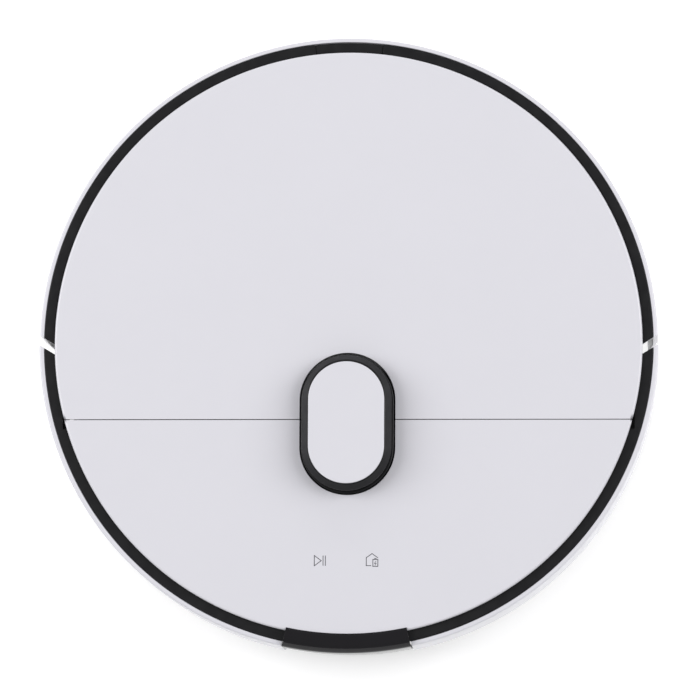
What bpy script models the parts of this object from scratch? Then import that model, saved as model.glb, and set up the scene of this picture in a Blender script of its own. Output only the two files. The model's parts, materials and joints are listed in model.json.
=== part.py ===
"""Robot vacuum: round body, laser turret, flip lid over the dust bin, sprung front bumper.

The origin is on the floor under the middle of the body, +Z is up and the front is -Y.
Sizes are in millimetres and become metres in to_metres().
"""
import math

import bmesh
import bpy
from mathutils import Matrix, Vector

MM = 0.001
GAP = 0.3                      # between pieces that touch

# Body
STEPS = 72                     # sides of the large turned rings
INNER_STEPS = 48               # sides of the rings inside the body
FRONT_RADIUS = 174.9           # bumper wall
REAR_RADIUS = 174.5            # rear wall
WALL = 2.6
WALL_LOW = 16.0
RIM_TOP = 79.1
COVER_RADIUS = 165.9
COVER_TOP = 81.6
COVER_LOW = 79.2
RING_INNER = 166.3
RING_OUTER = 171.9
RING_TOP = 78.8
RING_LOW = 77.1
FLANGE_TOP = 76.8
FLANGE_LOW = 75.2
SPLIT_SLOPE = 0.6              # slant of the gaps between bumper and rear shell
REAR_SPLIT = 3.1               # where the rear shell ends, at the ring's outer edge
FRONT_SPLIT = -2.5             # where the bumper starts there
TAB_HALF = 19.0                # finger tab at the back
TAB_LOW = 77.9

# Chassis
PAN_LOW, PAN_TOP = 11.0, 14.0
PAN_FLAT = 156.0
PAN_RADIUS = 164.3
DECK_LOW, DECK_TOP = 70.0, 72.0
DECK_RADIUS = 159.6

# Lid hinge: the axis lies behind the seam and under the surface
SEAM_Y = -43.5
SEAM_GAP = 0.5
HINGE_Y = SEAM_Y + 4.3
HINGE_Z = COVER_TOP - 3.0
KNUCKLES = ((57.0, 64.0), (76.0, 83.0))
EAR = (65.0, 75.0)

# Turret, a stadium lengthwise
TURRET_Y = -46.3
TURRET_HALF = 13.0
TURRET_RADIUS = 26.2
NOTCH_RADIUS = 26.9
NOTCH_Y, NOTCH_HALF = -46.0, 13.3
SLOT_LOW, SLOT_HIGH = 82.4, 89.6
CAP_LOW_RADIUS, CAP_RADIUS = 25.2, 21.8
TURRET_TOP = 96.0
ROTOR_Y = -59.3
MOTOR_Y = -33.3

# Running gear
WHEEL_Y, WHEEL_Z, WHEEL_RADIUS = 12.0, 35.0, 35.0
WHEEL_IN, WHEEL_OUT = 104.0, 131.0
HUB_RADIUS = 27.0
PIVOT_Y, PIVOT_Z = -40.0, 42.0
ARM_IN, ARM_OUT = 91.2, 102.6
CASTER_Y, CASTER_TRAIL, CASTER_RADIUS = -127.0, 6.0, 13.0
BRUSH_Y, BRUSH_Z, BRUSH_RADIUS = -18.0, 20.5, 19.0
SIDE_X, SIDE_Y, SIDE_REACH = -100.0, -92.0, 52.0

# Dust bin and fan
BIN_HALF, BIN_FRONT, BIN_ARC = 60.0, 34.0, 150.0
BIN_LOW, BIN_TOP = 15.0, 74.3
FAN_Y, FAN_Z, FAN_RADIUS = 84.0, 45.5, 23.5
GRILLE_DEG, GRILLE_HALF_DEG = 60.0, 9.0
GRILLE_LOW, GRILLE_HIGH = 32.0, 60.0

WINDOW_HALF_DEG = 12.0

LEVER_X, LEVER_Y = 56.0, -138.0
LEVER_TIP_X, LEVER_TIP_Y = 74.9, -152.55

BUMPER_TRAVEL = 4.0
SWING_IN, SWING_OUT = 140.0, 161.4      # ends of the strip of lid that dips as the lid opens
SWING_REACH = 5.4

CLIFF_SIZE = (22.0, 9.0)
CLIFF_RADIUS = 149.0
CLIFFS = {"cliff_window_left": -122.0, "cliff_window_right": -58.0}


def new_collection(name):
    group = bpy.data.collections.new(name)
    bpy.context.scene.collection.children.link(group)
    return group


for old in list(bpy.data.objects):
    bpy.data.objects.remove(old, do_unlink=True)
PARTS = new_collection("robot_vacuum")
CUTTERS = new_collection("cutters")


def finish_of(name, color, roughness, metallic=0.0):
    made = bpy.data.materials.new(name)
    made.use_nodes = True
    shader = made.node_tree.nodes["Principled BSDF"]
    shader.inputs["Base Color"].default_value = (*color, 1.0)
    shader.inputs["Roughness"].default_value = roughness
    shader.inputs["Metallic"].default_value = metallic
    return made


WHITE = finish_of("shell_white", (0.76, 0.755, 0.80), 0.38)
BLACK = finish_of("trim_black", (0.018, 0.018, 0.02), 0.45)
GLOSS = finish_of("window_black", (0.012, 0.012, 0.014), 0.15)
FRAME = finish_of("frame_grey", (0.16, 0.165, 0.17), 0.55)
PALE = finish_of("tray_grey", (0.55, 0.56, 0.58), 0.5)
SMOKE = finish_of("bin_smoke", (0.10, 0.11, 0.13), 0.2)
RUBBER = finish_of("tyre_rubber", (0.02, 0.02, 0.02), 0.8)
STEEL = finish_of("steel", (0.62, 0.62, 0.64), 0.3, 1.0)
BRISTLE = finish_of("brush_orange", (0.75, 0.18, 0.05), 0.6)
PAPER = finish_of("filter_paper", (0.85, 0.85, 0.82), 0.9)
BOARD = finish_of("board_green", (0.03, 0.16, 0.08), 0.5)
CELL = finish_of("battery_wrap", (0.05, 0.12, 0.35), 0.4)


def to_metres(points):
    return [tuple(value * MM for value in point) for point in points]


def add_object(name, mesh):
    made = bpy.data.objects.new(name, mesh)
    PARTS.objects.link(made)
    return made


def from_bmesh(name, bm):
    mesh = bpy.data.meshes.new(name)
    bmesh.ops.recalc_face_normals(bm, faces=bm.faces)
    bm.to_mesh(mesh)
    bm.free()
    return add_object(name, mesh)


def box(name, low, high):
    """An upright box between two corners."""
    bm = bmesh.new()
    bmesh.ops.create_cube(bm, size=1.0)
    size = [(h - l) * MM for l, h in zip(low, high)]
    middle = [(h + l) * MM / 2 for l, h in zip(low, high)]
    bmesh.ops.scale(bm, vec=size, verts=bm.verts)
    bmesh.ops.translate(bm, vec=middle, verts=bm.verts)
    return from_bmesh(name, bm)


def rod(name, radius, start, end, sides=24, end_radius=None):
    """A round bar or cone from one point to another."""
    start, end = Vector(start), Vector(end)
    bm = bmesh.new()
    tip = radius if end_radius is None else end_radius
    bmesh.ops.create_cone(bm, cap_ends=True, segments=sides, radius1=radius * MM,
                          radius2=tip * MM, depth=(end - start).length * MM)
    turn = (end - start).to_track_quat("Z", "Y").to_matrix().to_4x4()
    bmesh.ops.transform(bm, matrix=Matrix.Translation((start + end) * MM / 2) @ turn, verts=bm.verts)
    return from_bmesh(name, bm)


def turned(name, profile, steps=STEPS):
    """A solid turned about Z; the profile runs down its outer side."""
    points = to_metres([(radius, 0.0, height) for radius, height in profile])
    edges = [(i, i + 1) for i in range(len(points) - 1)]
    if profile[0][0] > 0:
        edges.append((len(points) - 1, 0))
    mesh = bpy.data.meshes.new(name)
    mesh.from_pydata(points, edges, [])
    made = add_object(name, mesh)
    screw = made.modifiers.new("turn", "SCREW")
    screw.steps = screw.render_steps = steps
    screw.use_merge_vertices = True
    screw.merge_threshold = 0.00001
    screw.use_smooth_shade = True
    return made


def along_x(made, x, y, z):
    """Lays a turned piece's axis along X, at a place."""
    made.rotation_euler = (0.0, math.pi / 2, 0.0)
    made.location = (x * MM, y * MM, z * MM)
    return made


def plate(name, outlines, low, high, across="Z"):
    """A flat outline, with holes, given thickness along Z or X."""
    curve = bpy.data.curves.new(name, "CURVE")
    curve.dimensions = "2D"
    curve.fill_mode = "BOTH"
    curve.extrude = (high - low) * MM / 2
    for outline in outlines:
        spline = curve.splines.new("POLY")
        spline.points.add(len(outline) - 1)
        spline.use_cyclic_u = True
        for point, (x, y) in zip(spline.points, outline):
            point.co = (x * MM, y * MM, 0.0, 1.0)
    drawn = add_object(name + "_outline", curve)
    bpy.context.view_layer.update()
    mesh = bpy.data.meshes.new_from_object(drawn.evaluated_get(bpy.context.evaluated_depsgraph_get()))
    bpy.data.objects.remove(drawn)
    bm = bmesh.new()
    bm.from_mesh(mesh)
    bpy.data.meshes.remove(mesh)
    bmesh.ops.remove_doubles(bm, verts=bm.verts, dist=0.000005)
    bmesh.ops.translate(bm, vec=(0, 0, (low + high) * MM / 2), verts=bm.verts)
    if across == "X":
        swap = Matrix(((0, 0, 1, 0), (1, 0, 0, 0), (0, 1, 0, 0), (0, 0, 0, 1)))
        bmesh.ops.transform(bm, matrix=swap, verts=bm.verts)
    return from_bmesh(name, bm)


def loft(name, sections):
    """A solid through closed sections with the same number of points."""
    bm = bmesh.new()
    loops = [[bm.verts.new(point) for point in to_metres(section)] for section in sections]
    count = len(loops[0])
    for lower, upper in zip(loops, loops[1:]):
        for i in range(count):
            j = (i + 1) % count
            bm.faces.new((lower[i], lower[j], upper[j], upper[i]))
    bm.faces.new(loops[0])
    bm.faces.new(loops[-1])
    return from_bmesh(name, bm)


def arc(cx, cy, radius, start, end, count):
    """Points along an arc, angles in degrees."""
    angles = [math.radians(start + (end - start) * i / (count - 1)) for i in range(count)]
    return [(cx + radius * math.cos(a), cy + radius * math.sin(a)) for a in angles]


def stadium(cy, radius, half, count=15):
    """A round-ended outline along Y, on the centre line."""
    return arc(0, cy + half, radius, 0, 180, count) + arc(0, cy - half, radius, 180, 360, count)


def polar(radius, degrees):
    return radius * math.cos(math.radians(degrees)), radius * math.sin(math.radians(degrees))


def combine(made, tools, operation):
    """Joins to, cuts from or trims a piece by tools, which become hidden cutters."""
    for tool in tools:
        step = made.modifiers.new(operation.lower(), "BOOLEAN")
        step.operation = operation
        step.solver = "EXACT"
        step.object = tool
        PARTS.objects.unlink(tool)
        CUTTERS.objects.link(tool)
        tool.hide_render = True
        tool.display_type = "WIRE"
    return made


def join(made, *tools):
    return combine(made, tools, "UNION")


def cut(made, *tools):
    return combine(made, tools, "DIFFERENCE")


def trim(made, tool):
    return combine(made, [tool], "INTERSECT")


def soften(made, width, segments=1, limit=40):
    bevel = made.modifiers.new("edges", "BEVEL")
    bevel.width = width * MM
    bevel.segments = segments
    bevel.limit_method = "ANGLE"
    bevel.angle_limit = math.radians(limit)
    return made


def keep(made, name, material, smooth=True):
    """Names a finished piece and gives it its material."""
    made.name = name
    made.data.name = name
    made.data.materials.clear()
    made.data.materials.append(material)
    if smooth:
        made.data.shade_smooth()
        if made.data.polygons:
            made.data.set_sharp_from_angle(angle=math.radians(35))
    return made


def split_region(name, offset, towards):
    """A block over the front or rear half, ended by the slanted gaps at both sides."""
    far, near, reach = 200.0, 150.0, 200.0 * towards
    far_y = offset + SPLIT_SLOPE * (far - RING_OUTER)
    near_y = offset + SPLIT_SLOPE * (near - RING_OUTER)
    outline = [(-far, far_y), (-near, near_y), (near, near_y), (far, far_y), (far, reach), (-far, reach)]
    return plate(name, [outline], 0.0, 100.0)


def sector(name, half_deg, low, high, inner=150.0, outer=190.0, middle_deg=-90.0):
    """A block between two radial lines, used to cut or trim the rings."""
    ends = (middle_deg - half_deg, middle_deg + half_deg)
    outline = arc(0, 0, outer, *ends, 5) + list(reversed(arc(0, 0, inner, *ends, 5)))
    return plate(name, [outline], low, high)


def swing_rooms(travel, low):
    """The two spaces that the ends of the lid's front strip turn down into."""
    rooms = []
    for side in (-1, 1):
        near, far = sorted((SWING_IN * side, SWING_OUT * side))
        rooms.append(box("swing_room", (near, HINGE_Y - SWING_REACH - travel, low), (far, HINGE_Y + 1.5, 90)))
    return rooms


def wall_profile(radius, flange_inner):
    """Side wall: rounded rim, straight upper part, drawn-in lower part and a top flange."""
    inner = radius - WALL
    return [(RING_OUTER + GAP, RIM_TOP), (radius - 1.4, RIM_TOP - 0.1), (radius - 0.4, RIM_TOP - 0.8),
            (radius, RIM_TOP - 2.2), (radius, 45.0), (radius - 3.6, WALL_LOW + 1.2),
            (radius - 4.4, WALL_LOW), (radius - 5.6, WALL_LOW), (inner - 3.4, WALL_LOW + 1.6),
            (inner, 45.5), (inner, FLANGE_LOW), (flange_inner, FLANGE_LOW), (flange_inner, FLANGE_TOP),
            (RING_OUTER + GAP, FLANGE_TOP)]


# ---------------------------------------------------------------- chassis and shells

def build_chassis():
    pan = turned("chassis", [(0, PAN_TOP), (PAN_FLAT - 0.5, PAN_TOP), (161.8, 19.5), (161.8, 34),
                             (PAN_RADIUS, 34), (PAN_RADIUS, 18), (PAN_FLAT + 0.5, PAN_LOW), (0, PAN_LOW)],
                 INNER_STEPS)
    cup = rod("cup", 24.5, (0, CASTER_Y, 12), (0, CASTER_Y, 46))
    join(pan, cup)
    for side in (-1, 1):
        for name, near, far in (("inner", 87.3, 90.4), ("outer", 103.4, 107.4)):
            lo, hi = sorted((near * side, far * side))
            join(pan, box(f"ear_{name}", (lo, -50, 12.2), (hi, -31, 52)))
    cuts = [box("brush_mouth", (-79.9, -42, 5), (79.9, 8, 20)),
            rod("caster_bore", 22.0, (0, CASTER_Y, 5), (0, CASTER_Y, 43.4), 32),
            rod("stem_hole", 3.4, (0, CASTER_Y, 40), (0, CASTER_Y, 50), 16),
            rod("side_hole", 6.0, (SIDE_X, SIDE_Y, 5), (SIDE_X, SIDE_Y, 20), 16)]
    for side in (-1, 1):
        lo, hi = sorted((90.4 * side, 136.5 * side))
        cuts.append(box("wheel_well", (lo, -30.8, 5), (hi, 56, 30)))
        lo, hi = sorted((84 * side, 110 * side))
        cuts.append(rod("pivot_hole", 3.9, (lo, PIVOT_Y, PIVOT_Z), (hi, PIVOT_Y, PIVOT_Z), 16))
        cuts.append(box("contact_seat", (34 * side - 11.3, -141.8, 5), (34 * side + 11.3, -132.2, 20)))
    for degrees in CLIFFS.values():
        cuts.append(cliff_block("cliff_seat", degrees, GAP, 5, 20))
    cut(pan, *cuts)
    keep(pan, "chassis", FRAME)


def build_brush_housing():
    """The hood over the main brush, with the duct that leads back to the dust bin."""
    hood = box("brush_housing", (-81.5, -44, PAN_TOP + GAP), (81.2, 10, 43))
    join(hood, box("duct", (-64, 8, PAN_TOP + GAP), (44, 32.5, 40)))
    cut(hood, box("brush_room", (-79.9, -42, 5), (79.9, 8, 41)),
        box("duct_bore", (-58, 0, 22), (40, 40, 37)),
        rod("left_bearing", 3.3, (-86, BRUSH_Y, BRUSH_Z), (-75, BRUSH_Y, BRUSH_Z), 16),
        rod("right_bearing", 4.5, (75, BRUSH_Y, BRUSH_Z), (86, BRUSH_Y, BRUSH_Z), 16))
    keep(hood, "brush_housing", FRAME)


def cliff_block(name, degrees, grow, low, high):
    half_x, half_y = CLIFF_SIZE[0] / 2 + grow, CLIFF_SIZE[1] / 2 + grow
    made = box(name, (-half_x, -half_y, low), (half_x, half_y, high))
    x, y = polar(CLIFF_RADIUS, degrees)
    made.location = (x * MM, y * MM, 0.0)
    made.rotation_euler = (0.0, 0.0, math.radians(degrees + 90))
    return made


def build_underside_fittings():
    for name, degrees in CLIFFS.items():
        keep(cliff_block(name, degrees, 0.0, PAN_LOW + 0.3, PAN_LOW + 2.0), name, GLOSS, False)
    for side, name in ((-1, "charge_contact_left"), (1, "charge_contact_right")):
        made = box(name, (34 * side - 11, -141.5, PAN_LOW - 0.6), (34 * side + 11, -132.5, PAN_LOW + 1.4))
        keep(soften(made, 0.4), name, STEEL, False)


def build_rear_shell():
    shell = trim(turned("rear_shell", wall_profile(REAR_RADIUS, 162.0)),
                 split_region("rear_half", REAR_SPLIT, 1))
    cut(shell, sector("grille_hole", GRILLE_HALF_DEG, GRILLE_LOW, GRILLE_HIGH, 165, 185, GRILLE_DEG))
    keep(shell, "rear_shell", WHITE)
    grille = turned("exhaust_grille", [(REAR_RADIUS - 0.2, GRILLE_HIGH), (REAR_RADIUS - 0.2, 45),
                                       (REAR_RADIUS - 1.6, GRILLE_LOW), (REAR_RADIUS - 4.0, GRILLE_LOW),
                                       (REAR_RADIUS - 2.6, 45), (REAR_RADIUS - 2.6, GRILLE_HIGH)])
    trim(grille, sector("grille_span", GRILLE_HALF_DEG - 0.1, GRILLE_LOW + GAP, GRILLE_HIGH - GAP,
                        165, 185, GRILLE_DEG))
    slots = []
    for i in range(7):
        degrees = GRILLE_DEG + (i - 3) * 2.3
        slots.append(sector(f"slot_{i}", 0.7, GRILLE_LOW + 3, GRILLE_HIGH - 3, 165, 185, degrees))
    keep(cut(grille, *slots), "exhaust_grille", BLACK)
    ring = trim(turned("rear_ring", [(RING_INNER, RING_TOP), (RING_OUTER, RING_TOP), (RING_OUTER, RING_LOW),
                                     (RING_INNER, RING_LOW)]), split_region("rear_ring_half", REAR_SPLIT, 1))
    cut(ring, box("tab_gap", (-TAB_HALF - GAP, 150, TAB_LOW - 0.2), (TAB_HALF + GAP, 180, 90)))
    keep(ring, "rear_ring", BLACK)
    tab = trim(turned("rear_tab", [(RING_INNER, RING_TOP - 0.4), (RING_OUTER, RING_TOP - 0.4),
                                   (RING_OUTER, TAB_LOW), (RING_INNER, TAB_LOW)]),
               box("tab_span", (-TAB_HALF, 150, 70), (TAB_HALF, 180, 90)))
    keep(tab, "rear_tab", BLACK)


def build_bumper():
    shell = trim(turned("bumper_shell", wall_profile(FRONT_RADIUS, 165.4)),
                 split_region("front_half", FRONT_SPLIT, -1))
    cut(shell, sector("window_gap", WINDOW_HALF_DEG + 0.1, 23.7, 90), *swing_rooms(BUMPER_TRAVEL, 73))
    keep(shell, "bumper_shell", WHITE)
    ring = trim(turned("bumper_ring", [(164.6, RING_TOP), (RING_OUTER, RING_TOP), (RING_OUTER, RING_LOW),
                                       (164.6, RING_LOW)]), split_region("front_ring_half", FRONT_SPLIT, -1))
    cut(ring, *swing_rooms(BUMPER_TRAVEL, 73))
    keep(ring, "bumper_ring", BLACK)
    window = turned("front_window", [(164.2, 83.0), (170.9, 82.9), (173.9, 81.7), (175.2, 79.2), (175.3, 74),
                                     (172.4, 24), (170.2, 24), (173.0, 74), (172.9, 79.0), (171.4, 81.2),
                                     (170.5, 81.95), (164.2, 81.95)])
    trim(window, sector("window_span", WINDOW_HALF_DEG - 0.1, 10, 95))
    keep(window, "front_window", GLOSS)


def build_covers():
    disc = [(0, COVER_TOP), (COVER_RADIUS - 1.3, COVER_TOP), (COVER_RADIUS - 0.4, COVER_TOP - 0.3),
            (COVER_RADIUS, COVER_TOP - 1.0), (COVER_RADIUS, COVER_LOW), (0, COVER_LOW)]
    cover = turned("front_cover", disc)
    rear_edge = SEAM_Y - SEAM_GAP / 2
    side_view = [(rear_edge, 100), (rear_edge, COVER_TOP), (rear_edge - 1.0, COVER_LOW), (rear_edge - 1.0, 60),
                 (-200, 60), (-200, 100)]
    wedge = plate("cover_region", [side_view], -200, 200, "X")
    trim(cover, wedge)
    cut(cover, plate("cover_notch", [stadium(NOTCH_Y, NOTCH_RADIUS, NOTCH_HALF)], 60, 95))
    keep(cover, "front_cover", WHITE)

    lid = turned("lid", disc)
    cut(lid, box("front_part", (-200, -200, 60), (200, SEAM_Y + SEAM_GAP / 2, 100)),
        plate("lid_notch", [stadium(NOTCH_Y, NOTCH_RADIUS, NOTCH_HALF)], 60, 95))
    for side in (-1, 1):
        for near, far in KNUCKLES:
            join(lid, rod("knuckle", 2.5, (near * side, HINGE_Y, HINGE_Z), (far * side, HINGE_Y, HINGE_Z), 16))
    for side, name in ((-1, "left"), (1, "right")):
        near, far = EAR
        lo, hi = sorted(((near - 0.5) * side, (far + 0.5) * side))
        cut(lid, rod("ear_room", 2.3, (lo, HINGE_Y, HINGE_Z), (hi, HINGE_Y, HINGE_Z), 16),
            box("lip_room", (lo, HINGE_Y - 6, HINGE_Z - 4), (hi, HINGE_Y, HINGE_Z + 2.2)),
            rod("pin_bore", 1.3, (56 * side, HINGE_Y, HINGE_Z), (84 * side, HINGE_Y, HINGE_Z), 12))
        pin = rod("pin", 1.0, (57.5 * side, HINGE_Y, HINGE_Z), (82.5 * side, HINGE_Y, HINGE_Z), 12)
        keep(pin, f"lid_pin_{name}", STEEL)
        lo, hi = sorted((near * side, far * side))
        bracket = box("bracket", (lo, HINGE_Y - 1.8, DECK_TOP + 0.8), (hi, HINGE_Y + 1.8, HINGE_Z))
        wide = sorted((60 * side, 80 * side))
        join(bracket, rod("ear", 2.0, (lo, HINGE_Y, HINGE_Z), (hi, HINGE_Y, HINGE_Z), 16),
             box("foot", (wide[0], HINGE_Y - 6, DECK_TOP + GAP), (wide[1], HINGE_Y + 6, DECK_TOP + 1.8)))
        cut(bracket, rod("ear_bore", 1.3, (wide[0], HINGE_Y, HINGE_Z), (wide[1], HINGE_Y, HINGE_Z), 12))
        keep(bracket, f"lid_bracket_{name}", FRAME)
    keep(lid, "lid", WHITE)


def bin_outline(grow):
    half = BIN_HALF + grow
    radius = BIN_ARC + grow
    edge = math.degrees(math.acos(half / radius))
    return [(-half, BIN_FRONT - grow), (half, BIN_FRONT - grow)] + arc(0, 0, radius, edge, 180 - edge, 13)


def build_deck():
    deck = turned("deck", [(0, DECK_TOP), (155.8, DECK_TOP), (155.8, COVER_LOW - GAP),
                           (DECK_RADIUS, COVER_LOW - GAP), (DECK_RADIUS, DECK_LOW), (0, DECK_LOW)], INNER_STEPS)
    for x, y in ((-128, -72), (128, -72), (-131, 66), (131, 66)):
        join(deck, rod("post", 5.0, (x, y, PAN_TOP + GAP), (x, y, DECK_LOW + 1), 12))
    cut(deck, plate("bin_bay", [bin_outline(0.6)], 60, 80),
        plate("turret_hole", [stadium(TURRET_Y, TURRET_RADIUS + 0.6, TURRET_HALF)], 60, 80),
        *swing_rooms(0.0, DECK_TOP + GAP))
    keep(deck, "deck", PALE)


# ---------------------------------------------------------------- laser turret

def build_turret():
    skirt = plate("lidar_skirt", [stadium(TURRET_Y, TURRET_RADIUS, TURRET_HALF),
                                  stadium(TURRET_Y, 24.0, TURRET_HALF)], 60, SLOT_LOW)
    keep(skirt, "lidar_skirt", BLACK)

    def ring_at(radius, z):
        return [(x, y, z) for x, y in stadium(TURRET_Y, radius, TURRET_HALF)]

    cap = loft("turret_cap", [ring_at(CAP_LOW_RADIUS, SLOT_HIGH), ring_at(CAP_LOW_RADIUS, SLOT_HIGH + 0.8),
                              ring_at(CAP_RADIUS + 0.3, TURRET_TOP - 1.2)])
    for x, y in ((-22.2, TURRET_Y), (22.2, TURRET_Y), (-13, TURRET_Y + 30), (13, TURRET_Y + 30)):
        join(cap, rod("pillar", 1.5, (x, y, SLOT_LOW - 6), (x, y, SLOT_HIGH + 1), 10))
    cut(cap, plate("cap_room", [stadium(TURRET_Y, 20.2, TURRET_HALF)], 80, SLOT_HIGH + 2.4))
    keep(cap, "turret_cap", BLACK)
    top = plate("turret_plate", [stadium(TURRET_Y, CAP_RADIUS - 0.1, TURRET_HALF)], TURRET_TOP - 0.9, TURRET_TOP)
    keep(soften(top, 0.3), "turret_plate", WHITE)

    frame = plate("lidar_frame", [stadium(TURRET_Y, 23.6, TURRET_HALF)], 60.3, 62.3)
    join(frame, rod("hub", 5.0, (0, ROTOR_Y, 61), (0, ROTOR_Y, 72), 16))
    cut(frame, rod("motor_hole", 2.5, (0, MOTOR_Y, 55), (0, MOTOR_Y, 66), 16))
    keep(frame, "lidar_frame", FRAME)
    rotor = turned("lidar_rotor", [(5.4, 87), (17.6, 87), (18.6, 86), (18.6, 67), (16.6, 66.4), (16.6, 63.2),
                                   (5.4, 63.2)], 32)
    rotor.location = (0, ROTOR_Y * MM, 0)
    join(rotor, rod("rotor_lid", 8, (0, ROTOR_Y, 80), (0, ROTOR_Y, 86.4), 16))
    cut(rotor, rod("emitter", 2.6, (-6.5, ROTOR_Y - 25, 81.5), (-6.5, ROTOR_Y - 12, 81.5), 12),
        rod("receiver", 4.6, (6.5, ROTOR_Y - 25, 81.5), (6.5, ROTOR_Y - 12, 81.5), 16))
    keep(rotor, "lidar_rotor", BLACK)
    motor = rod("lidar_motor", 8.0, (0, MOTOR_Y, 46), (0, MOTOR_Y, 60), 20)
    join(motor, rod("shaft", 1.0, (0, MOTOR_Y, 58), (0, MOTOR_Y, 67.5), 10))
    keep(motor, "lidar_motor", STEEL)
    pulley = turned("lidar_pulley", [(1.4, 66.6), (4.4, 66.6), (4.4, 66.2), (3.2, 65.8), (3.2, 63.8),
                                     (4.4, 63.4), (4.4, 63.0), (1.4, 63.0)], 20)
    pulley.location = (0, MOTOR_Y * MM, 0)
    keep(pulley, "lidar_pulley", PALE)
    span = MOTOR_Y - ROTOR_Y

    def loop(grow):
        big, small = 16.9 + grow, 3.5 + grow
        lean = math.degrees(math.asin((big - small) / span))
        return (arc(0, ROTOR_Y, big, 180 - lean, 360 + lean, 25) + arc(0, MOTOR_Y, small, lean, 180 - lean, 9))

    keep(plate("lidar_belt", [loop(0.8), loop(0.0)], 64.0, 65.6), "lidar_belt", RUBBER)


# ---------------------------------------------------------------- running gear

def tyre_outline():
    """A tread of square lugs, as a toothed ring."""
    lugs, depth = 24, 1.3
    points = []
    for i in range(lugs):
        for part, radius in ((0.0, WHEEL_RADIUS), (0.62, WHEEL_RADIUS), (0.7, WHEEL_RADIUS - depth),
                             (0.92, WHEEL_RADIUS - depth)):
            angle = 2 * math.pi * (i + part) / lugs
            points.append((WHEEL_Y + radius * math.cos(angle), WHEEL_Z + radius * math.sin(angle)))
    return points


def build_wheels():
    for side, name in ((-1, "left"), (1, "right")):
        lo, hi = sorted((WHEEL_IN * side, WHEEL_OUT * side))
        tyre = plate("tyre", [tyre_outline(), arc(WHEEL_Y, WHEEL_Z, HUB_RADIUS + 0.3, 0, 352.5, 48)], lo, hi, "X")
        keep(tyre, f"wheel_tyre_{name}", RUBBER, False)
        hub = along_x(turned("hub", [(4.5, 13.0), (10, 13.0), (12, 8.0), (22, 8.0), (24.5, 12.5), (HUB_RADIUS, 12.5),
                                     (HUB_RADIUS, -12.5), (24.5, -12.5), (22, 0.0), (10, 0.0), (10, -12.0),
                                     (4.5, -12.0)], 28), 0, WHEEL_Y, WHEEL_Z)
        hub.rotation_euler[1] = math.pi / 2 * side
        hub.location[0] = (WHEEL_IN + 13.5) * side * MM
        keep(hub, f"wheel_hub_{name}", PALE)

        lo, hi = sorted((ARM_IN * side, ARM_OUT * side))
        lean = 15.0
        arm = plate("arm", [arc(PIVOT_Y, PIVOT_Z, 8.0, 90 - lean, 270 - lean, 9)
                            + arc(WHEEL_Y, WHEEL_Z, 18.0, -90 - 10, 90 + 5, 13)], lo, hi, "X")
        join(arm, rod("pivot", 3.5, (88 * side, PIVOT_Y, PIVOT_Z), (108.5 * side, PIVOT_Y, PIVOT_Z), 16),
             rod("axle", 4.0, (100 * side, WHEEL_Y, WHEEL_Z), (118 * side, WHEEL_Y, WHEEL_Z), 16),
             rod("motor_boss", 7.0, (89 * side, 24, 45), (96 * side, 24, 45), 16))
        keep(arm, f"wheel_arm_{name}", FRAME)
        motor = rod("motor", 10.5, (66 * side, 24, 45), (88.7 * side, 24, 45), 20)
        keep(motor, f"wheel_motor_{name}", STEEL)
        keep(torsion_spring("spring", side), f"wheel_spring_{name}", STEEL)


def torsion_spring(name, side):
    """A spring coiled round the arm's pivot, with two straight legs."""
    turns, per_turn, radius = 3, 10, 6.0
    points = [(110.2 * side, PIVOT_Y - radius, PIVOT_Z + 12), (110.2 * side, PIVOT_Y - radius, PIVOT_Z + 4)]
    for i in range(turns * per_turn + 1):
        angle = math.pi + 2 * math.pi * i / per_turn
        x = (110.2 + 6.4 * i / (turns * per_turn)) * side
        points.append((x, PIVOT_Y + radius * math.cos(angle), PIVOT_Z + radius * math.sin(angle)))
    last = points[-1]
    points += [(last[0], last[1], last[2] - 4), (last[0], last[1], PAN_TOP + 6)]
    curve = bpy.data.curves.new(name, "CURVE")
    curve.dimensions = "3D"
    curve.bevel_depth = 0.6 * MM
    curve.bevel_resolution = 1
    curve.use_fill_caps = True
    spline = curve.splines.new("POLY")
    spline.points.add(len(points) - 1)
    for point, place in zip(spline.points, to_metres(points)):
        point.co = (*place, 1.0)
    drawn = add_object(name + "_wire", curve)
    bpy.context.view_layer.update()
    mesh = bpy.data.meshes.new_from_object(drawn.evaluated_get(bpy.context.evaluated_depsgraph_get()))
    bpy.data.objects.remove(drawn)
    bm = bmesh.new()
    bm.from_mesh(mesh)
    bmesh.ops.remove_doubles(bm, verts=bm.verts, dist=0.000005)
    return from_bmesh(name, bm)


def build_caster():
    wheel_y = CASTER_Y + CASTER_TRAIL
    fork = rod("caster_fork", 20.5, (0, CASTER_Y, 27), (0, CASTER_Y, 31), 32)
    join(fork, rod("stem", 3.0, (0, CASTER_Y, 29), (0, CASTER_Y, 49), 16))
    for side in (-1, 1):
        lo, hi = sorted((9.2 * side, 13.0 * side))
        join(fork, box("cheek", (lo, wheel_y - 6, 9), (hi, wheel_y + 6, 28)))
    cut(fork, rod("axle_hole", 2.4, (-15, wheel_y, CASTER_RADIUS), (15, wheel_y, CASTER_RADIUS), 12))
    keep(fork, "caster_fork", FRAME)
    wheel = turned("caster_wheel", [(0, 12.6), (2.0, 12.6), (2.0, 8.6), (10.5, 8.6), (12.6, 6.0), (CASTER_RADIUS, 0),
                                    (12.6, -6.0), (10.5, -8.6), (2.0, -8.6), (2.0, -12.6), (0, -12.6)], 20)
    keep(along_x(wheel, 0, wheel_y, CASTER_RADIUS), "caster_wheel", RUBBER)


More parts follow.
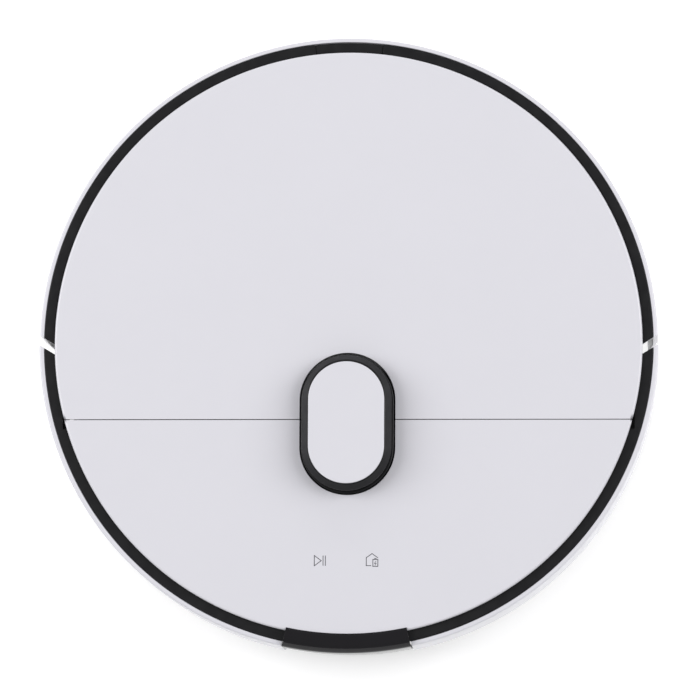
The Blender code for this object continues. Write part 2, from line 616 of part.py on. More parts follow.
def build_brushes():
    blades, sections, length = 5, 13, 75.5
    loops = []
    for k in range(sections):
        x = -length + 2 * length * k / (sections - 1)
        twist = 0.9 * (1 - abs(x) / length)
        loop = []
        for i in range(blades):
            for part, radius in ((0.0, BRUSH_RADIUS), (0.06, BRUSH_RADIUS), (0.14, 11.5), (0.5, 11.0), (0.92, 11.5)):
                angle = 2 * math.pi * (i + part) / blades + twist
                loop.append((x, BRUSH_Y + radius * math.cos(angle), BRUSH_Z + radius * math.sin(angle)))
        loops.append(loop)
    roller = loft("brush_roller", loops)
    join(roller, rod("journal", 2.7, (-81.0, BRUSH_Y, BRUSH_Z), (-70, BRUSH_Y, BRUSH_Z), 16))
    cut(roller, rod("socket", 3.6, (70, BRUSH_Y, BRUSH_Z), (80, BRUSH_Y, BRUSH_Z), 16))
    keep(roller, "brush_roller", BRISTLE)

    cover = plate("brush_cover", [[(-87, -48), (87, -48), (87, 14), (-87, 14)],
                                  [(-77, -39.5), (77, -39.5), (77, 3.5), (-77, 3.5)]], 8.2, PAN_LOW - GAP)
    keep(soften(cover, 0.8), "brush_cover", FRAME, False)
    drive = rod("brush_motor", 13.0, (50, -64, 31), (82, -64, 31), 20)
    join(drive, box("gearbox", (81.7, -78, 15), (86.5, -6, 46)),
         rod("output", 3.0, (72, BRUSH_Y, BRUSH_Z), (83, BRUSH_Y, BRUSH_Z), 16))
    keep(drive, "brush_motor", FRAME)

    broom = rod("side_brush", 9.0, (SIDE_X, SIDE_Y, 5.6), (SIDE_X, SIDE_Y, 9.8), 20)
    outward = math.degrees(math.atan2(SIDE_Y, SIDE_X))
    for i in range(3):
        dx, dy = polar(1.0, outward + 60 + 120 * i)
        join(broom, rod("arm", 2.6, (SIDE_X + 5 * dx, SIDE_Y + 5 * dy, 7.6),
                        (SIDE_X + SIDE_REACH * dx, SIDE_Y + SIDE_REACH * dy, 3.4), 8, 1.2))
    cut(broom, rod("drive_hole", 2.6, (SIDE_X, SIDE_Y, 7.4), (SIDE_X, SIDE_Y, 12), 12))
    keep(broom, "side_brush", BRISTLE)
    motor = rod("side_brush_motor", 14.0, (SIDE_X, SIDE_Y, PAN_TOP + GAP), (SIDE_X, SIDE_Y, 44), 20)
    join(motor, rod("shaft", 2.0, (SIDE_X, SIDE_Y, 7.8), (SIDE_X, SIDE_Y, 16), 12))
    keep(motor, "side_brush_motor", FRAME)


# ---------------------------------------------------------------- bin, fan and electrics

def build_bin():
    tub = plate("bin_body", [bin_outline(0.0)], BIN_LOW, BIN_TOP)
    join(tub, plate("bin_flange", [bin_outline(3.4)], DECK_TOP + GAP, BIN_TOP))
    cut(tub, plate("bin_room", [bin_outline(-2.0)], BIN_LOW + 2, 90),
        box("inlet", (-56, 30, 23), (38, 38, 36)), box("outlet", (55, 52, 28), (65, 118, 62)))
    keep(tub, "bin_body", SMOKE)
    top = plate("bin_lid", [bin_outline(3.4)], BIN_TOP + GAP, BIN_TOP + 2.2)
    cut(top, box("finger_well", (-24, 92, BIN_TOP + 1.4), (24, 112, 90)))
    keep(top, "bin_lid", SMOKE)
    outer = [(-38, 88), (38, 88), (38, 120), (-38, 120)]
    inner = [(-30, 80), (30, 80), (30, 113), (-30, 113)]
    handle = plate("bin_handle", [outer], BIN_TOP + 2.5, BIN_TOP + 4.6)
    cut(handle, plate("handle_room", [inner], 60, 90))
    keep(soften(handle, 0.5), "bin_handle", PALE, False)
    pleats, depth, thick = 16, 6.0, 0.6
    step = 62.0 / pleats
    face = [(50.6 + (depth if i % 2 else 0), 54 + step * i) for i in range(pleats + 1)]
    back = [(x + thick, y) for x, y in reversed(face)]
    keep(plate("filter", [face + back], 28.5, 61.5), "filter", PAPER, False)


def build_fan():
    case = along_x(turned("fan_housing", [(FAN_RADIUS, 40), (FAN_RADIUS, 0), (10, 0), (10, 1.8), (21.7, 1.8),
                                          (21.7, 38.2), (15, 38.2), (15, 40)], 40), 66, FAN_Y, FAN_Z)
    join(case, box("outlet", (70, FAN_Y + 21, 34), (98, 138, 58)))
    cut(case, box("outlet_bore", (72, FAN_Y + 12, 36), (96, 150, 56)))
    keep(case, "fan_housing", FRAME)
    blades, points = 9, []
    for i in range(blades):
        for part, radius in ((0.0, 19.5), (0.08, 19.5), (0.22, 8.0), (0.82, 8.0)):
            angle = 2 * math.pi * (i + part) / blades
            points.append((FAN_Y + radius * math.cos(angle), FAN_Z + radius * math.sin(angle)))
    wheel = plate("fan_impeller", [points, arc(FAN_Y, FAN_Z, 2.0, 0, 330, 12)], 70, 80, "X")
    keep(wheel, "fan_impeller", PALE, False)
    motor = rod("fan_motor", 13.0, (84, FAN_Y, FAN_Z), (110, FAN_Y, FAN_Z), 20)
    join(motor, rod("shaft", 1.5, (76, FAN_Y, FAN_Z), (86, FAN_Y, FAN_Z), 10))
    keep(motor, "fan_motor", STEEL)


def build_electrics():
    keep(soften(box("battery", (-70, -84, PAN_TOP + GAP), (45, -47, 52)), 2.0), "battery", CELL, False)
    board = plate("main_board", [[(-86, -93), (86, -93), (86, -118), (50, -140), (-50, -140), (-86, -118)]], 54, 55.6)
    for x, y, w, h, t in ((-40, -112, 16, 16, 2), (5, -118, 22, 12, 3), (45, -108, 12, 18, 6), (-66, -106, 10, 8, 4)):
        join(board, box("chip", (x - w / 2, y - h / 2, 55), (x + w / 2, y + h / 2, 55.6 + t)))
    keep(board, "main_board", BOARD, False)
    cone = rod("speaker", 18.0, (-105, 84, PAN_TOP + GAP), (-105, 84, 26), 24)
    cut(cone, rod("cone", 6.0, (-105, 84, 21), (-105, 84, 27), 24, 16.5))
    keep(cone, "speaker", FRAME)
    touch = box("touch_board", (-32, -132, 75.6), (32, -114, 77.2))
    for x in (-15.5, 14.0):
        join(touch, rod("key_pad", 5.0, (x, -123, 76.8), (x, -123, 78.8), 16))
    keep(touch, "touch_board", BOARD, False)


def build_bump_sensing():
    """Levers that the bumper's wall turns, with the switches that they work."""
    for side, name in ((-1, "left"), (1, "right")):
        x, y = LEVER_X * side, LEVER_Y
        lever = rod("lever", 3.2, (x, y, 59.4), (x, y, 62.6), 16)
        join(lever, rod("finger", 1.4, (x + 1.5 * side, y - 1.2, 61), (LEVER_TIP_X * side, LEVER_TIP_Y, 61), 10))
        cut(lever, rod("lever_bore", 1.5, (x, y, 55), (x, y, 66), 12))
        keep(lever, f"bump_lever_{name}", PALE)
        post = rod("post", 1.2, (x, y, 57), (x, y, 65), 12)
        join(post, box("switch", (x - 7, y + 5, 57.2), (x + 7, y + 14, 66)),
             box("base", (x - 7, y - 4, 56), (x + 7, y + 14, 57.6)))
        keep(post, f"bump_switch_{name}", BLACK)


build_chassis()
build_brush_housing()
build_underside_fittings()
build_rear_shell()
build_bumper()
build_covers()
build_deck()
build_turret()
build_wheels()
build_caster()
build_brushes()
build_bin()
build_fan()
build_electrics()
build_bump_sensing()
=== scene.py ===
"""Looks of a robot vacuum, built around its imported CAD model.

The CAD frame has its origin on the floor under the middle of the body, +Z up and the front at -Y.
Lengths here are in millimetres and become metres where a mesh is made.
"""
import json
import math

import bmesh
import bpy
from mathutils import Matrix, Vector


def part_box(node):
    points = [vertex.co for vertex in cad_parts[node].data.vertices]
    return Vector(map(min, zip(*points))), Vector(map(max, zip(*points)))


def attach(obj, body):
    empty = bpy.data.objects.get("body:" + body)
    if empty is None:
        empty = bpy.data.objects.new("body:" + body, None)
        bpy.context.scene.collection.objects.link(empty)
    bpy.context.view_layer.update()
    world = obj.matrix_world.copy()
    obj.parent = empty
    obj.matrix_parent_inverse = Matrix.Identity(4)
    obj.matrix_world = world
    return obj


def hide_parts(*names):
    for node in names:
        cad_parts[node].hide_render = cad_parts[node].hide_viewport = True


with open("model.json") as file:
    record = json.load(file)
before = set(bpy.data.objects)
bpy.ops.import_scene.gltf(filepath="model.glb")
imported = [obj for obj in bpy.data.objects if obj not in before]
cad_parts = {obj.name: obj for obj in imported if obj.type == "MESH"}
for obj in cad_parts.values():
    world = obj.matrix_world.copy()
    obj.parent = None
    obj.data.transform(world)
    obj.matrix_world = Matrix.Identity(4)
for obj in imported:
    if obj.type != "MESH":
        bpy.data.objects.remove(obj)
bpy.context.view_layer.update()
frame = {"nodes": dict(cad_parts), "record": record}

MM = 0.001
GAP = 0.3
FINE = 288                       # steps of the large rings
MEDIUM = 96                      # steps of wheels and the like


def corners(node):
    """Lowest and highest corner of a CAD node, in millimetres."""
    low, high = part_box(node)
    return low / MM, high / MM


# ---------------------------------------------------------------- sizes read from the frame

FRONT_RADIUS = corners("bumper_shell")[1].x
REAR_RADIUS = corners("rear_shell")[1].y
RIM_TOP = corners("rear_shell")[1].z
WALL_LOW = corners("rear_shell")[0].z
COVER_RADIUS = corners("lid")[1].x
COVER_TOP = corners("lid")[1].z
COVER_LOW = corners("front_cover")[0].z
RING_TOP = corners("rear_ring")[1].z
RING_LOW = corners("rear_ring")[0].z
RING_OUTER = corners("rear_ring")[1].y
RING_INNER = 166.3
BUMPER_RING_INNER = 164.6
WALL = 2.6
FLANGE_TOP, FLANGE_LOW = 76.8, 75.2
REAR_FLANGE, FRONT_FLANGE = 162.0, 165.4
WALL_KNEE = 45.0                 # height where the side wall starts to draw in
WALL_DRAW = 4.4                  # how far it draws in by its lower edge

SPLIT_SLOPE = 0.6                # slant of the gaps between bumper and rear shell
REAR_SPLIT = 3.1
FRONT_SPLIT = -2.5

TAB_HALF = corners("rear_tab")[1].x
TAB_LOW = corners("rear_tab")[0].z
WINDOW_TOP = corners("front_window")[1].z
WINDOW_LOW = corners("front_window")[0].z
WINDOW_RADIUS = -corners("front_window")[0].y
WINDOW_HALF_DEG = 11.9
WINDOW_GAP_DEG = 12.1
WINDOW_INNER = 164.2

SEAM_Y = -43.5
SEAM_GAP = 0.5
HINGE = Vector((0.0, -39.2, 78.6))
KNUCKLES = ((57.0, 64.0), (76.0, 83.0))
EAR_ROOM = (64.5, 75.5)
SWING_IN, SWING_OUT = 140.0, 161.4
SWING_FRONT = -48.6              # the bumper's travel is part of this room
SWING_LOW = 73.0
# Pockets under the seam's ends: painted shade, black pieces set where the gap shows only shade.
POCKET_INNER, POCKET_WALL, POCKET_OUTER = 157.8, 161.7, 163.2
POCKET_LOW, POCKET_FLOOR = 72.5, 73.2
CUT_TOP = 90.0                   # above every wall and ring that is cut

TURRET_LOW, TURRET_HIGH = corners("lidar_skirt")
TURRET_Y = (TURRET_LOW.y + TURRET_HIGH.y) / 2
SKIRT_RADIUS = TURRET_HIGH.x
TURRET_HALF = TURRET_HIGH.y - TURRET_Y - SKIRT_RADIUS
SLOT_LOW = TURRET_HIGH.z
SLOT_HIGH = 89.6
HOOD_TOP = 94.8
CAP_LOW_RADIUS = corners("turret_cap")[1].x
PLATE_RADIUS = corners("turret_plate")[1].x
PLATE_LOW, PLATE_TOP = corners("turret_plate")[0].z, corners("turret_plate")[1].z
NOTCH_RADIUS, NOTCH_Y, NOTCH_HALF = 26.9, -46.0, 13.3

ROTOR_LOW, ROTOR_HIGH = corners("lidar_rotor")
ROTOR_Y = (ROTOR_LOW.y + ROTOR_HIGH.y) / 2
BEAM_X, BEAM_Z = 6.5, 81.5       # the laser's emitter and receiver sit side by side

WHEEL_LOW, WHEEL_HIGH = corners("wheel_tyre_right")
WHEEL_Y = (WHEEL_LOW.y + WHEEL_HIGH.y) / 2
WHEEL_Z = (WHEEL_LOW.z + WHEEL_HIGH.z) / 2
WHEEL_RADIUS = (WHEEL_HIGH.z - WHEEL_LOW.z) / 2
HUB_RADIUS = 27.0
CASTER_LOW, CASTER_HIGH = corners("caster_wheel")
BRUSH_START = corners("brush_roller")[0].x
BRUSH_Y, BRUSH_Z, BRUSH_RADIUS = -18.0, 20.5, 19.0
SIDE_X, SIDE_Y, SIDE_REACH = -100.0, -92.0, 52.0

GRILLE_DEG, GRILLE_HALF_DEG = 60.0, 8.9
GRILLE_LOW = corners("exhaust_grille")[0].z
GRILLE_HIGH = corners("exhaust_grille")[1].z
GRILLE_GAP_DEG = 9.0
RAIL = 2.4

ICON_Y = -123.2                  # middle of the touch icons on the front cover
ICON_LINE = 0.42
ICON_RISE = 0.04
DECK_TOP = 72.0


# ---------------------------------------------------------------- mesh building

def piece(name, verts, faces):
    """A mesh object from points in millimetres, with its faces pointing out."""
    bm = bmesh.new()
    made = [bm.verts.new([value * MM for value in point]) for point in verts]
    for face in faces:
        bm.faces.new([made[i] for i in face])
    bmesh.ops.recalc_face_normals(bm, faces=bm.faces)
    return from_bmesh(name, bm)


def from_bmesh(name, bm):
    mesh = bpy.data.meshes.new(name)
    bm.to_mesh(mesh)
    bm.free()
    mesh.shade_smooth()
    made = bpy.data.objects.new(name, mesh)
    bpy.context.scene.collection.objects.link(made)
    return made


def rounded(points, radii, steps=7):
    """A closed outline with each corner turned into an arc of its own radius."""
    result = []
    count = len(points)
    for i, (point, radius) in enumerate(zip(points, radii)):
        here = Vector(point)
        back = Vector(points[i - 1]) - here
        ahead = Vector(points[(i + 1) % count]) - here
        corner = back.angle(ahead)
        reach = radius / math.tan(corner / 2) if radius > 0 else 0.0
        reach = min(reach, back.length * 0.49, ahead.length * 0.49)
        if reach < 0.01:
            result.append(tuple(here))
            continue
        start, end = here + back.normalized() * reach, here + ahead.normalized() * reach
        for k in range(steps + 1):
            t = k / steps
            result.append(tuple((1 - t) ** 2 * start + 2 * t * (1 - t) * here + t * t * end))
    return result


def arc(cx, cy, radius, start, end, count):
    """Points along an arc, angles in degrees."""
    angles = [math.radians(start + (end - start) * i / (count - 1)) for i in range(count)]
    return [(cx + radius * math.cos(a), cy + radius * math.sin(a)) for a in angles]


def circle(cx=0.0, cy=0.0, steps=FINE):
    """An outline rule: offset to a closed circle."""
    def points(radius):
        turns = [2 * math.pi * i / steps for i in range(steps)]
        return [(cx + radius * math.cos(a), cy + radius * math.sin(a)) for a in turns]
    return points


def stadium(cy, half, count=49):
    """An outline rule: offset to a round-ended outline along Y."""
    def points(radius):
        return arc(0, cy + half, radius, 0, 180, count) + arc(0, cy - half, radius, 180, 360, count)
    return points


def sector(middle_deg, half_deg, steps):
    """An outline rule: radius to an arc between two radial lines."""
    def points(radius):
        return arc(0, 0, radius, middle_deg - half_deg, middle_deg + half_deg, steps)
    return points


def half_ring(split, towards, steps=FINE // 2):
    """An outline rule for the front or rear half, ended by the slanted gaps at both sides."""
    def end_angle(radius):
        angle = 0.0
        for _ in range(12):
            height = split + SPLIT_SLOPE * (radius * math.cos(angle) - RING_OUTER)
            angle = math.asin(height / radius)
        return math.degrees(angle)

    def points(radius):
        first = end_angle(radius)
        if towards > 0:
            return arc(0, 0, radius, first, 180 - first, steps)
        return arc(0, 0, radius, 180 - first, 360 + first, steps)
    return points


def skin(name, profile, outline, closed_profile=True, closed_outline=True):
    """A solid whose profile of (offset, height) follows an outline; open ends are capped."""
    rows = [[(x, y, height) for x, y in outline(offset)] for offset, height in profile]
    across, along = len(rows[0]), len(rows)
    verts = [point for row in rows for point in row]
    faces = []
    for r in range(along if closed_profile else along - 1):
        low, high = r * across, (r + 1) % along * across
        for i in range(across if closed_outline else across - 1):
            j = (i + 1) % across
            faces.append((low + i, low + j, high + j, high + i))
    if not closed_profile:
        faces.append(tuple(range(across)))
        faces.append(tuple((along - 1) * across + i for i in range(across)))
    if not closed_outline:
        faces.append(tuple(r * across for r in range(along)))
        faces.append(tuple(r * across + across - 1 for r in range(along)))
    return piece(name, verts, faces)


def slab(name, outline, low, high):
    """A flat outline given thickness, without holes."""
    count = len(outline)
    verts = [(x, y, low) for x, y in outline] + [(x, y, high) for x, y in outline]
    faces = [tuple(range(count)), tuple(range(count, 2 * count))]
    faces += [(i, (i + 1) % count, count + (i + 1) % count, count + i) for i in range(count)]
    return piece(name, verts, faces)


def block(name, low, high):
    (x0, y0, z0), (x1, y1, z1) = low, high
    return slab(name, [(x0, y0), (x1, y0), (x1, y1), (x0, y1)], z0, z1)


def cylinder(name, radius, start, end, sides=48, end_radius=None):
    """A round bar or cone between two points."""
    start, end = Vector(start), Vector(end)
    bm = bmesh.new()
    tip = radius if end_radius is None else end_radius
    bmesh.ops.create_cone(bm, cap_ends=True, segments=sides, radius1=radius * MM,
                          radius2=tip * MM, depth=(end - start).length * MM)
    turn = (end - start).to_track_quat("Z", "Y").to_matrix().to_4x4()
    bmesh.ops.transform(bm, matrix=Matrix.Translation((start + end) * MM / 2) @ turn, verts=bm.verts)
    return from_bmesh(name, bm)


def joined(name, parts):
    """Several closed bodies kept in one mesh."""
    bm = bmesh.new()
    for part in parts:
        part.data.transform(part.matrix_basis)
        bm.from_mesh(part.data)
        bpy.data.objects.remove(part)
    return from_bmesh(name, bm)


def boolean(made, tools, operation):
    """Cuts or joins for good, and removes the tools. All meshes are closed, as the solver needs."""
    for tool in tools:
        step = made.modifiers.new(operation, "BOOLEAN")
        step.operation = operation
        step.solver = "MANIFOLD"
        step.object = tool
    bpy.context.view_layer.update()
    mesh = bpy.data.meshes.new_from_object(made.evaluated_get(bpy.context.evaluated_depsgraph_get()))
    if not mesh.polygons:
        raise ValueError(f"nothing is left of {made.name}")
    made.modifiers.clear()
    made.data = mesh
    for tool in tools:
        bpy.data.objects.remove(tool)
    return made


def along_x(made, side, x, y, z):
    """Lays a piece made round Z along X, towards one side, and fixes it there."""
    turn = Matrix.Rotation(math.pi / 2 * side, 4, "Y")
    made.data.transform(Matrix.Translation(Vector((x, y, z)) * MM) @ turn)
    return made


def edges(made, width, segments=3, limit=32):
    """Small rounded edges and shading that stays flat on flat faces."""
    bevel = made.modifiers.new("edges", "BEVEL")
    bevel.width = width * MM
    bevel.segments = segments
    bevel.limit_method = "ANGLE"
    bevel.angle_limit = math.radians(limit)
    bevel.use_clamp_overlap = True
    weigh(made)
    return made


def weigh(made):
    """Keeps the shading of large flat faces even."""
    normals = made.modifiers.new("normals", "WEIGHTED_NORMAL")
    normals.keep_sharp = True
    normals.weight = 60
    return made


def place(made, body, slot, material, *nodes):
    """Gives a piece its material and body, and hides the CAD nodes it stands for."""
    made.data.materials.clear()
    made.data.materials.append(material)
    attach(made, body)
    if nodes:
        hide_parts(*nodes)
    return made


# ---------------------------------------------------------------- materials

class Finish:
    """Builds one node material step by step."""

    def __init__(self, name, color, roughness, metallic=0.0):
        self.material = bpy.data.materials.new(name)
        self.material.use_nodes = True
        self.tree = self.material.node_tree
        self.shader = self.tree.nodes["Principled BSDF"]
        self.color, self.roughness = color, roughness
        self.set("Base Color", (*color, 1.0))
        self.set("Roughness", roughness)
        self.set("Metallic", metallic)
        self.place = self.tree.nodes.new("ShaderNodeTexCoord").outputs["Object"]
        self.height = None

    def set(self, name, value):
        self.shader.inputs[name].default_value = value
        return self

    def link(self, output, target):
        self.tree.links.new(output, target)

    def noise(self, size, detail=4.0, stretch=None):
        """Noise with features of about this size in millimetres."""
        source = self.place
        if stretch:
            mapping = self.tree.nodes.new("ShaderNodeMapping")
            mapping.inputs["Scale"].default_value = stretch
            self.link(source, mapping.inputs["Vector"])
            source = mapping.outputs["Vector"]
        texture = self.tree.nodes.new("ShaderNodeTexNoise")
        texture.inputs["Scale"].default_value = 1.0 / (size * MM)
        texture.inputs["Detail"].default_value = detail
        self.link(source, texture.inputs["Vector"])
        return texture.outputs["Fac"]

    def spread(self, value, low, high):
        span = self.tree.nodes.new("ShaderNodeMapRange")
        span.inputs["From Min"].default_value = 0.3
        span.inputs["From Max"].default_value = 0.7
        span.inputs["To Min"].default_value = low
        span.inputs["To Max"].default_value = high
        self.link(value, span.inputs["Value"])
        return span.outputs["Result"]

    def vary_roughness(self, size, amount, stretch=None):
        low, high = max(0.02, self.roughness - amount), min(1.0, self.roughness + amount)
        self.link(self.spread(self.noise(size, 3.0, stretch), low, high), self.shader.inputs["Roughness"])
        return self

    def vary_color(self, size, amount, tint=(1.0, 1.0, 1.0), stretch=None):
        """Slow drift between the colour made darker and lighter."""
        mix = self.tree.nodes.new("ShaderNodeMix")
        mix.data_type = "RGBA"
        mix.inputs["A"].default_value = (*[c * (1 - amount) * t for c, t in zip(self.color, tint)], 1.0)
        mix.inputs["B"].default_value = (*[min(1.0, c * (1 + amount)) for c in self.color], 1.0)
        self.link(self.noise(size, 3.0, stretch), mix.inputs["Factor"])
        self.link(mix.outputs["Result"], self.shader.inputs["Base Color"])
        return self

    def bump(self, value, depth, strength=1.0):
        """Adds relief of this depth in millimetres."""
        node = self.tree.nodes.new("ShaderNodeBump")
        node.inputs["Distance"].default_value = depth * MM
        node.inputs["Strength"].default_value = strength
        self.link(value, node.inputs["Height"])
        if self.height is not None:
            self.link(self.height, node.inputs["Normal"])
        self.height = node.outputs["Normal"]
        self.link(self.height, self.shader.inputs["Normal"])
        return self

    def grain(self, size, depth, strength=1.0, stretch=None):
        return self.bump(self.noise(size, 5.0, stretch), depth, strength)


def shell_white():
    made = Finish("shell_white", (0.735, 0.728, 0.78), 0.34)
    made.set("Coat Weight", 0.25).set("Coat Roughness", 0.22).set("IOR", 1.49)
    made.vary_color(60.0, 0.012).vary_roughness(9.0, 0.05)
    made.grain(1.1, 0.006, 0.5).grain(26.0, 0.02, 0.35)
    return made.material


def trim_black():
    made = Finish("trim_black", (0.0075, 0.0075, 0.0088), 0.40)
    made.set("Specular IOR Level", 0.3)
    made.vary_color(14.0, 0.12).vary_roughness(5.0, 0.07)
    made.grain(0.55, 0.010, 0.6)
    return made.material


def window_black():
    made = Finish("window_black", (0.006, 0.0055, 0.0075), 0.15)
    made.set("Coat Weight", 0.1).set("Coat Roughness", 0.06).set("Specular IOR Level", 0.42)
    made.vary_color(22.0, 0.15, (1.0, 0.9, 0.95)).vary_roughness(7.0, 0.04)
    made.grain(16.0, 0.01, 0.3)
    return made.material


def frame_grey():
    made = Finish("frame_grey", (0.055, 0.057, 0.062), 0.52)
    made.vary_color(18.0, 0.10).vary_roughness(6.0, 0.08)
    made.grain(0.7, 0.03, 0.8).grain(3.2, 0.02, 0.4)
    return made.material


def tray_grey():
    made = Finish("tray_grey", (0.47, 0.48, 0.50), 0.45)
    made.vary_color(30.0, 0.04).vary_roughness(8.0, 0.07)
    made.grain(0.8, 0.018, 0.7)
    return made.material


def bin_smoke():
    made = Finish("bin_smoke", (0.045, 0.050, 0.060), 0.18)
    made.set("Transmission Weight", 0.25).set("IOR", 1.56).set("Coat Weight", 0.4).set("Coat Roughness", 0.12)
    made.vary_color(25.0, 0.18).vary_roughness(10.0, 0.06)
    made.grain(20.0, 0.015, 0.4)
    return made.material


def tyre_rubber():
    made = Finish("tyre_rubber", (0.021, 0.021, 0.022), 0.78)
    made.set("Specular IOR Level", 0.35)
    made.vary_color(6.0, 0.25, (1.0, 0.97, 0.94)).vary_roughness(3.0, 0.10)
    made.grain(0.45, 0.05, 0.8).grain(2.4, 0.03, 0.4)
    return made.material


def steel():
    made = Finish("steel", (0.60, 0.60, 0.62), 0.28, 1.0)
    made.vary_color(8.0, 0.06).vary_roughness(2.0, 0.10, (1.0, 1.0, 12.0))
    made.grain(0.6, 0.008, 0.7, (1.0, 1.0, 18.0))
    return made.material


def plated():
    made = Finish("contact_plate", (0.80, 0.72, 0.55), 0.22, 1.0)
    made.vary_color(5.0, 0.05).vary_roughness(1.6, 0.08, (1.0, 10.0, 1.0))
    made.grain(0.5, 0.006, 0.7, (1.0, 14.0, 1.0))
    return made.material


def brush_orange():
    made = Finish("brush_orange", (0.62, 0.13, 0.025), 0.5)
    made.set("Sheen Weight", 0.2)
    made.vary_color(4.0, 0.2, (1.0, 0.85, 0.8)).vary_roughness(1.5, 0.12)
    made.grain(0.4, 0.03, 0.7)
    return made.material


def filter_paper():
    made = Finish("filter_paper", (0.74, 0.73, 0.68), 0.92)
    made.set("Sheen Weight", 0.15)
    made.vary_color(3.0, 0.06, (1.0, 0.98, 0.93)).grain(0.35, 0.05, 0.9, (1.0, 1.0, 0.4))
    made.vary_roughness(2.0, 0.05)
    return made.material


def board_green():
    made = Finish("board_green", (0.015, 0.10, 0.045), 0.32)
    made.set("Coat Weight", 0.5).set("Coat Roughness", 0.15)
    cells = made.tree.nodes.new("ShaderNodeTexVoronoi")
    cells.distance = "MANHATTAN"
    cells.inputs["Scale"].default_value = 1.0 / (2.6 * MM)
    made.link(made.place, cells.inputs["Vector"])
    made.bump(cells.outputs["Distance"], 0.05, 0.5)
    made.vary_color(2.2, 0.3, (0.9, 1.0, 0.9)).vary_roughness(3.0, 0.08)
    return made.material


def battery_wrap():
    made = Finish("battery_wrap", (0.022, 0.075, 0.23), 0.3)
    made.set("Coat Weight", 0.4).set("Coat Roughness", 0.1)
    made.vary_color(12.0, 0.1).vary_roughness(4.0, 0.06)
    made.grain(7.0, 0.12, 0.6, (1.0, 0.4, 1.0))
    return made.material


def icon_grey():
    made = Finish("icon_grey", (0.11, 0.11, 0.125), 0.55)
    made.vary_color(1.2, 0.08).vary_roughness(0.8, 0.08).grain(0.2, 0.004, 0.6)
    return made.material


WHITE = shell_white()
BLACK = trim_black()
GLOSS = window_black()
FRAME = frame_grey()
TRAY = tray_grey()
SMOKE = bin_smoke()
RUBBER = tyre_rubber()
STEEL = steel()
PLATED = plated()
BRISTLE = brush_orange()
PAPER = filter_paper()
BOARD = board_green()
CELL = battery_wrap()
ICON = icon_grey()
SLOT_FINISH = {"shell_white": WHITE, "trim_black": BLACK, "window_black": GLOSS, "frame_grey": FRAME,
               "tray_grey": TRAY, "bin_smoke": SMOKE, "tyre_rubber": RUBBER, "steel": STEEL,
               "brush_orange": BRISTLE, "filter_paper": PAPER, "board_green": BOARD, "battery_wrap": CELL}


# ---------------------------------------------------------------- outer shell

def swing_rooms():
    """The spaces in the bumper that the ends of the lid's front strip turn down into."""
    rooms = []
    for side in (-1, 1):
        near, far = sorted((SWING_IN * side, SWING_OUT * side))
        rooms.append(block("swing_room", (near, SWING_FRONT, SWING_LOW), (far, HINGE.y + 1.5, CUT_TOP)))
    return rooms


def wall_profile(radius, flange_inner):
    """Side wall with a rolled rim, a knee where it draws in, and a top flange."""
    inner = radius - WALL
    lip = RING_OUTER + GAP
    points = [(lip, RIM_TOP), (radius, RIM_TOP), (radius, WALL_KNEE), (radius - WALL_DRAW, WALL_LOW),
              (radius - WALL_DRAW - 1.3, WALL_LOW), (inner, WALL_KNEE + 0.5), (inner, FLANGE_LOW),
              (flange_inner, FLANGE_LOW), (flange_inner, FLANGE_TOP), (lip, FLANGE_TOP)]
    radii = [0.35, 1.7, 14.0, 0.6, 0.5, 12.0, 0.3, 0.3, 0.3, 0.2]
    return rounded(points, radii)


def ring_profile(inner, outer, low, high, edge=0.35):
    return rounded([(inner, high), (outer, high), (outer, low), (inner, low)], [edge, edge, 0.15, 0.15], 4)


def build_walls():
    profile = wall_profile(REAR_RADIUS, REAR_FLANGE)
    rear = skin("rear_wall", profile, half_ring(REAR_SPLIT, 1), True, False)
    low, high = GRILLE_LOW - GAP, GRILLE_HIGH + GAP
    hole = skin("grille_hole", [(165, low), (185, low), (185, high), (165, high)],
                sector(GRILLE_DEG, GRILLE_GAP_DEG, 24), True, False)
    boolean(rear, [hole], "DIFFERENCE")
    place(edges(rear, 0.3), "body", "shell_white", WHITE, "rear_shell")

    profile = wall_profile(FRONT_RADIUS, FRONT_FLANGE)
    front = skin("bumper_wall", profile, half_ring(FRONT_SPLIT, -1), True, False)
    low = WINDOW_LOW - GAP
    notch = skin("window_gap", [(150, low), (190, low), (190, 95), (150, 95)],
                 sector(-90, WINDOW_GAP_DEG, 36), True, False)
    boolean(front, [notch] + swing_rooms(), "DIFFERENCE")
    place(edges(front, 0.3), "bumper", "shell_white", WHITE, "bumper_shell")


def build_trim_rings():
    rear = skin("rear_trim_ring", ring_profile(RING_INNER, RING_OUTER, RING_LOW, RING_TOP),
                half_ring(REAR_SPLIT, 1), True, False)
    recess = block("tab_recess", (-TAB_HALF - GAP, 150, TAB_LOW - 0.2), (TAB_HALF + GAP, 180, CUT_TOP))
    boolean(rear, [recess], "DIFFERENCE")
    place(edges(rear, 0.2), "body", "trim_black", BLACK, "rear_ring")

    half_deg = math.degrees(math.asin(TAB_HALF / RING_OUTER))
    profile = ring_profile(RING_INNER + 0.1, RING_OUTER - 0.1, TAB_LOW, RING_TOP - 0.35, 0.3)
    tab = skin("finger_tab", profile, sector(90, half_deg, 36), True, False)
    place(edges(tab, 0.2), "body", "trim_black", BLACK, "rear_tab")

    front = skin("bumper_trim_ring", ring_profile(BUMPER_RING_INNER, RING_OUTER, RING_LOW, RING_TOP),
                 half_ring(FRONT_SPLIT, -1), True, False)
    boolean(front, swing_rooms(), "DIFFERENCE")
    place(edges(front, 0.2), "bumper", "trim_black", BLACK, "bumper_ring")


